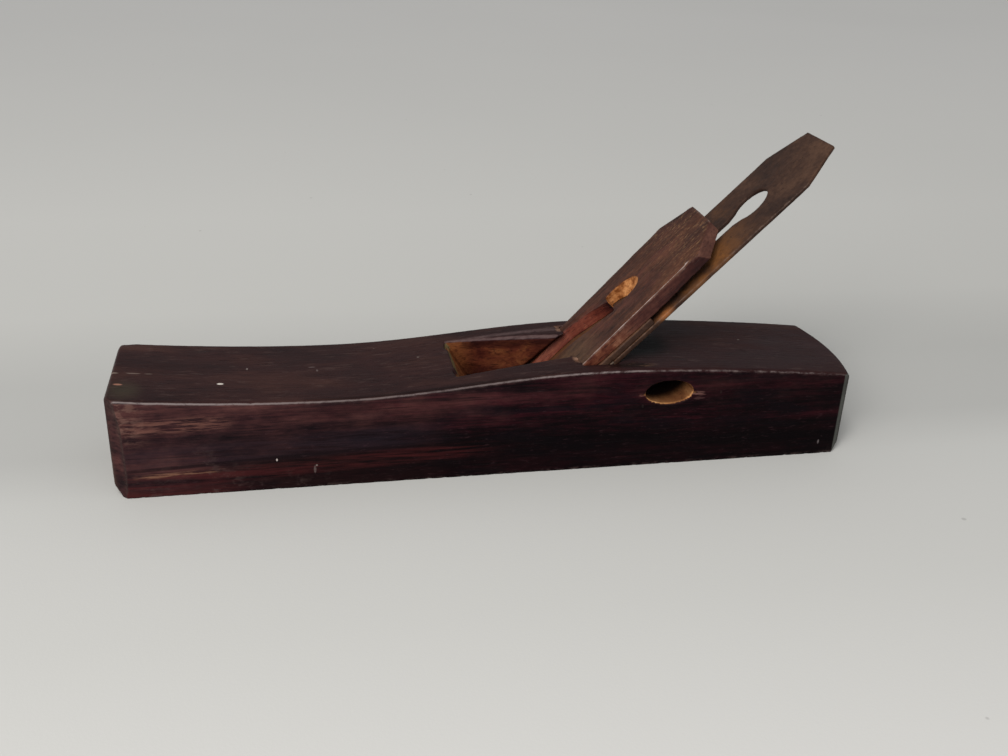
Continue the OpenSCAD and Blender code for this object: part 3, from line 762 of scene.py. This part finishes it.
def stock_push(p, e):
    """How far each point of the stock moves out along its normal. E is 1 on a square edge."""
    x, y, z = p.T
    deep = depth_in(p)
    outer = np.where(deep < 0.5, 1.0, 0.0)
    # Hand-planed faces are never quite flat
    push = 0.06 * rough(p, (34, 22, 22), 3, 2) * outer
    # Edges worn and nicked
    push -= e * (0.05 + 0.05 * rough(p, 18, 9, 2) + 0.25 * nicks(p, 3.2, 8, 0.35)) * outer
    push -= e * 0.05 * (1 - outer)
    # Knocks along the near top edge, thicker towards the heel
    rng = np.random.default_rng(5)
    places = np.r_[rng.uniform(-140, 20, 16), rng.uniform(18, 138, 40)]
    dents = knocks(x, places, rng.uniform(0.4, 1.3, 56), rng.uniform(0.05, 0.26, 56))
    push -= dents * near(y, -HALF_W, 1.5, 0.5) * near(z - top_h(x), 0, 1.5, 0.5)
    # Knocks along the near bottom edge
    places = rng.uniform(-140, 140, 50)
    dents = knocks(x, places, rng.uniform(0.4, 1.5, 50), rng.uniform(0.05, 0.24, 50))
    push -= dents * near(y, -HALF_W, 0.8, 0.6) * near(z, 0, 0.8, 0.6)
    # Chisel facets and torn grain in the throat
    chisel = 0.15 * noise(p, (5, 3.4, 2.6), 21) + 0.08 * rough(p, (2.2, 1.0, 1.0), 22, 2)
    push += np.where(in_throat(p) & (deep > 0.6), chisel * step(1.2, 2.2, deep), 0)
    # Rough bore of the handle hole
    push += np.where(in_hole(p, 0.7) & (deep > 0.6), 0.07 * rough(p, (2.6, 5, 1.6), 23, 3), 0)
    return np.where(on_contact(p), 0.0, push)


def cut_corners(p):
    """Moves the points at three corners of the stock that were cut or worn by hand."""
    x, y, z = p.T
    # The near corner of the toe wavers, as its chamfer was cut by eye
    bend = np.interp(z, [0, 3, 10, 20, 28, 36, 40], [0.6, 1.6, 1.9, 1.7, 1.5, 0.4, 0.0])
    x += bend * near(y, -HALF_W, 0.6, 3.4) * (1 - step(-141, -128, x))
    # The near corner of the heel starts with a shallower cut
    cut_y = -HALF_W + (x - HEEL_CUT_X) * 0.72
    y[:] = np.where((x > HEEL_CUT_X) & (y < 0), np.maximum(y, cut_y), y)
    # The far corner of the toe is rubbed down
    gap = np.sqrt((x - TOE_X) ** 2 + (HALF_W - y) ** 2 + (top_h(x) - z) ** 2)
    z -= 0.8 * (1 - step(0, 8, gap)) * step(10, 38, z)


def tear_wood(p):
    """Moves the points where wood broke away at the abutments and beside the handle hole."""
    x, y, z = p.T
    # Along the back edges of the abutments, against the wedge
    for side, low_y, high_y in ((-1, 7.5, 16.5), (1, 13.5, 20.5)):
        along = step(low_y, low_y + 2, side * y) * (1 - step(high_y - 2, high_y, side * y))
        edge = near(x, ABUTMENT_X, 0.8, 1.0) * (1 - step(0.6, 1.8, top_h(x) - z))
        torn = 0.35 + 0.35 * rough(p, 1.6, 41, 2)
        z -= 1.1 * along * edge * torn
        x -= 0.5 * along * edge * torn
    # Splinters along the grain at the ends of the hole
    for end in (1, -1):
        run = end * (x - HOLE[0]) - 9.4
        width = np.clip(1.3 - 0.3 * np.abs(run), 0.2, None)
        tear = near(y, -HALF_W, 0.5, 0.4) * step(0.1, 0.9, run) * (1 - step(1.2, 3.6, run))
        tear *= np.clip(1 - np.abs(z - HOLE[1] + 0.6) / width, 0, 1)
        y += 0.42 * tear * (1 + 0.5 * noise(p, 1.2, 40))
    # A chamfer worn along the lower lip of the hole on the near side
    r = np.hypot((x - HOLE[0]) / HOLE_HALF[0], (z - HOLE[1]) / HOLE_HALF[1])
    lip = (1 - step(1.0, 1.13, r)) * step(0.93, 1.0, r) * near(y, -HALF_W, 0.3, 0.5)
    y += 0.45 * lip * step(0.5, -3.5, z - HOLE[1])


def stock_values(p, n):
    """What the stock's material reads at each point."""
    x, y, z = p.T
    deep = depth_in(p)
    depth = top_h(x) - z
    # Raw wood in the throat and the hole, and where splinters and chips broke away
    hole = in_hole(p, 0.9) & ((np.abs(y) < HALF_W - 0.7) | in_hole(p, 0.2))
    throat = in_throat(p) & ~hole & (x < 58)
    chamfer = np.where(y > 0, 0.55 + 0.9 * step(-17, 28, x), 0.35)
    raw = np.where(throat, step(0.0, 0.4, deep - chamfer) * step(0.0, 0.8, z), 0)
    corner = near(x, -17.5, 2.2, 0.6) * near(y, -11.5, 3.5, 1.0) * step(3.5, 1.5, depth)
    raw *= 1 - corner
    # The top edge of the throat's front wall, where a highlight is painted
    olive = throat * step(0.3, 0.6, n[:, 0]) * (x < -8) * near(depth, 1.0, 1.6, 1.4) * (1 - corner)
    raw = raw + np.where(hole, step(0.1, 0.5, deep), 0)
    splinter = near(y, -HALF_W, 0.9, 0.2) * step(0.2, 0.5, deep) * near(z, HOLE[1] - 0.4, 1.5, 0.6)
    splinter *= near(x, HOLE[0], 12.2, 0.6) * step(9.6, 10.2, np.abs(x - HOLE[0]))
    broken = near(x, 30.6, 1.5, 0.6) * (1 - step(1.2, 2.4, depth)) * in_throat(p)
    broken = broken * np.where(y < 0, near(y, -12, 4, 1.5), near(y, 17, 2.2, 1.0))
    raw = np.maximum(raw, splinter * 0.35)
    # Painted shade deep in the throat and under its far side
    under = step(5.0, 1.5, depth - chamfer) * step(-14, -4, x) * step(2.0, 8.0, y)
    painted_throat_shade = np.where(throat, np.maximum(under, step(9, 20, depth)), 0) * (1 - broken)
    # The near top edge: under a half on the side below it, over a half on the top behind it
    below, inward = np.clip(depth, 0, None), np.clip(y + HALF_W, 0, None)
    arris = np.where(inward < 5, 0.5 + (below - inward) / 8, 0)
    # The polished chamfer along the throat's far side, and the strip of the top beside it, which carry a
    # painted highlight
    rub_and_sheen = step(0.25, 0.5, -n[:, 1]) * step(0.25, 0.5, n[:, 2])
    rub_and_sheen *= in_throat(p) & (y > 6) & (depth < 2.5)
    width = np.interp(x, [-17, 5, 28], [0.1, 1.3, 1.8])
    beside = step(15, 15.8, y) * step(0.8, 0.0, y - 16 - width) * step(30, 28, x)
    beside = beside * step(1.0, 0.5, depth) * step(-17, -14, x)
    edge_gap = second_least(HALF_W - np.abs(y), depth, z, np.minimum(x - TOE_X, HEEL_X - x))
    return {
        "raw": raw,
        "painted_throat_shade": painted_throat_shade,
        "olive": olive,
        "bore": np.where(hole | (splinter > 0.1), 1, 0),
        "chip": broken,
        "top": step(0.35, 0.85, n[:, 2]) * (1 - raw),
        "end": step(0.45, 0.8, np.abs(n[:, 0])) * (1 - raw) * step(60, 130, np.abs(x)),
        "rub_and_sheen": np.maximum(rub_and_sheen, 0.8 * beside),
        "arris": arris,
        "edge": 1 - step(0.5, 1.6, edge_gap),
    }


def make_stock():
    w = Piece("stock", STOCK_VOXEL)
    w.soften(0.4)
    e, n = w.convex(0.16)
    w.p = w.p + n * stock_push(w.p, e)[:, None]
    cut_corners(w.p)
    tear_wood(w.p)
    w.soften(0.25)
    w.p = np.clip(w.p, (TOE_X, -HALF_W, 0), (HEEL_X, HALF_W, np.inf))
    w.finish("stock_body", "body", stock_material(), STOCK_FACES, stock_values)


# The wedge
def fork_sides(s):
    """The two sides of the wedge's slot, across the bed, at a place up it."""
    near_side = np.interp(s, [44, FORK_END], [2.2, -4.1])
    far_side = np.interp(s, [18, 50, FORK_END], [13.2, 12.2, 5.4])
    return near_side, far_side


def wedge_push(p, n, e):
    """How far each point of the wedge moves out along its normal. Its back keeps its plane."""
    s, y, t = p.T
    push = -e * (0.03 + 0.22 * nicks(p, 2.6, 51, 0.35))
    fibre = 0.035 * rough(p, (14, 0.8, 0.8), 52, 2) + 0.05 * rough(p, (30, 7, 7), 53, 2)
    push += (fibre - 0.02) * (1 - e)
    # The long front edge on the near side carries a narrow chamfer
    corner = np.hypot(y + WEDGE_EDGE_Y, t - wedge_front(s))
    push -= 0.28 * (1 - step(0.2, 1.0, corner)) * (s > 36) * (s < 103)
    # Knocked about at the top end, where it is tapped home
    push -= step(WEDGE_TOP - 2, WEDGE_TOP, s) * 0.12 * (1 + noise(p, 3, 55))
    back = near(n[:, 2], -1, 0.05, 0.1) * (s < 84)
    return push * (1 - back)


def lean_slot(p, old):
    """Leans the far side of the wedge's slot outwards and softens its rim. Old is where the points were."""
    s, y, t = old.T
    far_side = fork_sides(s)[1]
    rise = np.clip((t - 5) / (wedge_front(s) - 5), 0, 1)
    lean = np.where(y > far_side - 1, 1 - step(0, 5, y - far_side), 0)
    lean = lean * (1 - step(60, 70.5, s)) * (s > 18.5)
    p[:, 1] += 2.1 * rise * lean
    p[:, 2] -= 0.5 * lean * step(0.7, 1, rise) * step(-1, 1, y - far_side)


def wedge_values(p, n):
    """What the wedge's material reads at each point."""
    s, y, t = p.T
    below = wedge_front(s) - t
    near_side, far_side = fork_sides(s)
    in_slot = (y > near_side - 0.4) & (y < far_side + 2.6 * (s < 70)) & (s < FORK_END + 0.2) & (below > 0.2)
    far_half = in_slot & (y > (near_side + far_side) / 2)
    across = (y - SCOOP[1]) * math.cos(0.14) + (s - SCOOP[0]) * math.sin(0.14)
    bowl = (s > 71) & (s < 87.5) & (np.abs(across) < 6.3) & (below > 0.15) & (t > 5)
    face = step(0.6, 0.9, n[:, 2]) * (below < 1.2)
    clip = step(0.15, 0.4, n[:, 0]) * step(-0.2, -0.45, n[:, 1]) * (s > 98) * (1 - face)
    half = 17.6 + 1.9 * (s - 18) / 90
    edge_gap = second_least(half - np.abs(y), below, WEDGE_TOP - s)
    # How strongly the painted highlight shows along the long front edge
    rub_and_sheen = step(38, 44, s) * (1 - step(102.5, 105.5, s))
    return {
        "raw": np.where(bowl, step(0.15, 0.5, below), 0),
        "inner": np.where(far_half, step(0.2, 0.9, below), 0) * step(71.5, 66, s),
        "side": (1 - face) * (1 - clip),
        "clip": clip,
        "top": face * step(84, 112, s),
        "low": face * step(66, 48, s) * step(4, -4, y),
        "blush": (1 - face) * step(78, 58, s) * (y < -14) * 0.85,
        "edge": 1 - step(0.35, 1.1, edge_gap),
        "arris": 1 - (np.abs(y + WEDGE_EDGE_Y) + np.clip(below, 0, None)) / 2.5,
        "rub_and_sheen": rub_and_sheen * np.interp(s, [40, 60, 75, 100], [0.3, 0.45, 0.85, 1.0]),
    }


def make_wedge():
    w = Piece("wedge", WEDGE_VOXEL, BED_TURN, BED_AT)
    w.soften(0.4)
    e, n = w.convex(0.11)
    old = w.p
    w.p = old + n * wedge_push(old, n, e)[:, None]
    lean_slot(w.p, old)
    w.soften(0.25)
    w.finish("wedge_body", "wedge", wedge_material(), WEDGE_FACES, wedge_values)


# The metal pieces. Rusts have a dark, a middle and a light colour, and one for the orange spots
RUSTS = {
    "iron_rust": ((0.0145, 0.0070, 0.0052), (0.040, 0.0198, 0.0132), (0.082, 0.043, 0.0270),
                  (0.118, 0.049, 0.0185)),
    "steel_rust": ((0.03, 0.022, 0.018), (0.085, 0.062, 0.048), (0.15, 0.115, 0.09), (0.15, 0.07, 0.026)),
    "cap_rust": ((0.019, 0.0092, 0.0066), (0.050, 0.0255, 0.0175), (0.090, 0.050, 0.034),
                 (0.13, 0.05, 0.018)),
}
# Name, CAD node, body, slot, rust, voxel size in millimetres, most triangles
METALS = [
    ("iron_blade", "plane_iron", "iron", "wrought_iron", "iron_rust", 0.4, 150000),
    ("iron_edge_steel", "steel_face", "iron", "hard_steel", "steel_rust", 0.3, 60000),
    ("cap_plate", "cap_iron", "cap", "cap_metal", "cap_rust", 0.4, 70000),
    ("cap_bolt", "cap_screw", "screw", "screw_metal", "cap_rust", 0.2, 30000),
]


def metal_push(p, e, blade):
    """How far each point of a metal piece moves out along its normal."""
    push = -e * (0.02 + 0.10 * nicks(p, 2.2, 61, 0.2))
    if blade:
        open_up = step(60, 90, p[:, 0])
        face = 0.05 * rough(p, (16, 9, 9), 63, 2) - 0.05 - 0.14 * nicks(p, 1.4, 62, 0.35)
        push += open_up * face * (1 - e)
        push -= open_up * e * 0.05 * (1 + noise(p, 6, 64))
    return push


def metal_values(p, n, blade):
    """What a metal piece's material reads at each point."""
    s, y, t = p.T
    front = step(0.5, 0.9, n[:, 2])
    flat = np.minimum(np.abs(t - iron_front(s)), np.abs(t)) if blade else t.max() - t
    low = step(140, 112, s) if blade else 0.6
    return {
        "orange": low * (0.15 + 0.85 * front),
        "edge": step(18.3, 18.9, np.abs(y)) * (1 - step(0.3, 0.7, flat)),
        "flank": step(0.5, 0.85, np.abs(n[:, 1])),
    }


def make_metal():
    rusts = {name: rust_material(name, *colours) for name, colours in RUSTS.items()}
    for name, node, body, slot, rust, voxel, most in METALS:
        blade = name == "iron_blade"
        w = Piece(node, voxel, BED_TURN, BED_AT)
        w.soften(0.4)
        e, n = w.convex(voxel * 0.32)
        w.p = w.p + n * metal_push(w.p, e, blade)[:, None]
        w.soften(0.2)
        w.finish(name, body, rusts[rust], most, lambda p, n: metal_values(p, n, blade))


# Floor, light and camera, in metres
FLOOR_HALF = 6.0
FLOOR_START, FLOOR_RUN = -0.2, 1.6
# Colour of the paper in front, painted lightest
FLOOR_NEAR = (0.600, 0.590, 0.568)
# Name, place, what it points at, length of a side, watts, colour
LAMPS = [
    ("side", (-0.75, -0.75, 0.65), (-0.1, -0.1, 0.0), 0.5, 4.5, (1.0, 0.98, 0.95)),
    ("over", (-0.25, -0.45, 1.0), (0.0, 0.0, 0.0), 0.3, 3.2, (1.0, 0.99, 0.97)),
]
SUN_WAY, SUN_STRENGTH, SUN_ANGLE = (0.44, 0.71, -0.56), 1.85, math.radians(32)
SUN_COLOUR = (1.0, 0.985, 0.965)
SKY_COLOUR, SKY_STRENGTH = (0.95, 0.975, 1.0), 0.41
CAMERA_AT = (-0.0793, -0.3886, 0.2186)
CAMERA_YAW, CAMERA_PITCH, CAMERA_ROLL = (math.radians(a) for a in (12.15, 25.53, 2.46))
CAMERA_LENS, CAMERA_SENSOR = 39.17, 36


def floor_material():
    """Pale paper with painted light and shade: lightest in front, with a band of painted shade behind the
    plane that fades out to the sides, and few fine specks.
    """
    m = Nodes("paper")
    back = m.op("MULTIPLY_ADD", m.y, 1 / FLOOR_RUN, -FLOOR_START / FLOOR_RUN)
    # Painted light and shade along the paper: lightest in front, and a band of painted shade behind the
    # plane
    tone = m.ramp(back, (0.0, FLOOR_NEAR), (0.056, (0.532, 0.526, 0.503)), (0.0875, (0.518, 0.512, 0.491)),
                  (0.108, (0.500, 0.496, 0.475)), (0.128, (0.430, 0.426, 0.408)),
                  (0.17, (0.428, 0.424, 0.405)), (0.22, (0.505, 0.499, 0.475)),
                  (0.32, (0.545, 0.538, 0.513)), (0.94, (0.575, 0.565, 0.545)))
    plain = m.ramp(back, (0.0, FLOOR_NEAR), (0.94, (0.560, 0.551, 0.531)))
    # The painted band fades to a plain ramp out to the sides
    tone = m.mix(m.step(0.45, 0.95, m.op("ABSOLUTE", m.x)), tone, plain)
    cloud = m.noise(m.mapped((2.2, 2.2, 2.2)), 3, 0.5)
    tone = m.mix(m.step(0.3, 0.7, cloud, 0.0, 0.05), tone, (0.40, 0.40, 0.39))
    speck = m.step(0.028, 0.018, m.cells(m.mapped((26, 26, 26))))
    tone = m.mix(m.times(speck, 0.35), tone, (0.20, 0.19, 0.18))
    fibre = m.noise(m.mapped((900, 900, 900)), 3, 0.6)
    return m.done(tone, 0.9, m.bump(fibre, 0.00008, 0.4), Specular_IOR_Level=0.1)


def make_floor():
    k = FLOOR_HALF
    mesh = bpy.data.meshes.new("floor")
    mesh.from_pydata([(-k, -k, 0), (k, -k, 0), (k, k, 0), (-k, k, 0)], [], [(0, 1, 2, 3)])
    mesh.materials.append(floor_material())
    add_object("floor", mesh)


def point(ob, way):
    """Turns a lamp so that it shines along a direction."""
    ob.rotation_mode = "QUATERNION"
    ob.rotation_quaternion = Vector(way).to_track_quat("-Z", "Y")


def make_light():
    world = bpy.data.worlds.new("studio")
    bpy.context.scene.world = world
    world.use_nodes = True
    sky = world.node_tree.nodes["Background"]
    sky.inputs["Color"].default_value = (*SKY_COLOUR, 1)
    sky.inputs["Strength"].default_value = SKY_STRENGTH
    for name, place, aim, side, watts, colour in LAMPS:
        lamp = bpy.data.lights.new(name, "AREA")
        lamp.shape, lamp.size, lamp.size_y = "RECTANGLE", side, side
        lamp.energy, lamp.color = watts, colour
        ob = add_object(name, lamp)
        ob.location = place
        point(ob, Vector(aim) - Vector(place))
    sun = bpy.data.lights.new("window", "SUN")
    sun.energy, sun.angle, sun.color = SUN_STRENGTH, SUN_ANGLE, SUN_COLOUR
    point(add_object("window", sun), SUN_WAY)


def make_camera():
    yaw, pitch, roll = CAMERA_YAW, CAMERA_PITCH, CAMERA_ROLL
    forward = Vector((math.sin(yaw) * math.cos(pitch), math.cos(yaw) * math.cos(pitch), -math.sin(pitch)))
    level = forward.cross(Vector((0, 0, 1))).normalized()
    lift = level.cross(forward)
    right = math.cos(roll) * level + math.sin(roll) * lift
    up = -math.sin(roll) * level + math.cos(roll) * lift
    camera = bpy.data.cameras.new("camera")
    camera.lens, camera.sensor_width = CAMERA_LENS, CAMERA_SENSOR
    ob = add_object("camera", camera)
    turn = Matrix((right, up, -forward)).transposed()
    ob.matrix_world = Matrix.Translation(CAMERA_AT) @ turn.to_4x4()
    bpy.context.scene.camera = ob


make_stock()
make_wedge()
make_metal()
make_floor()
make_light()
make_camera()
bpy.context.scene.view_settings.view_transform = "Standard"
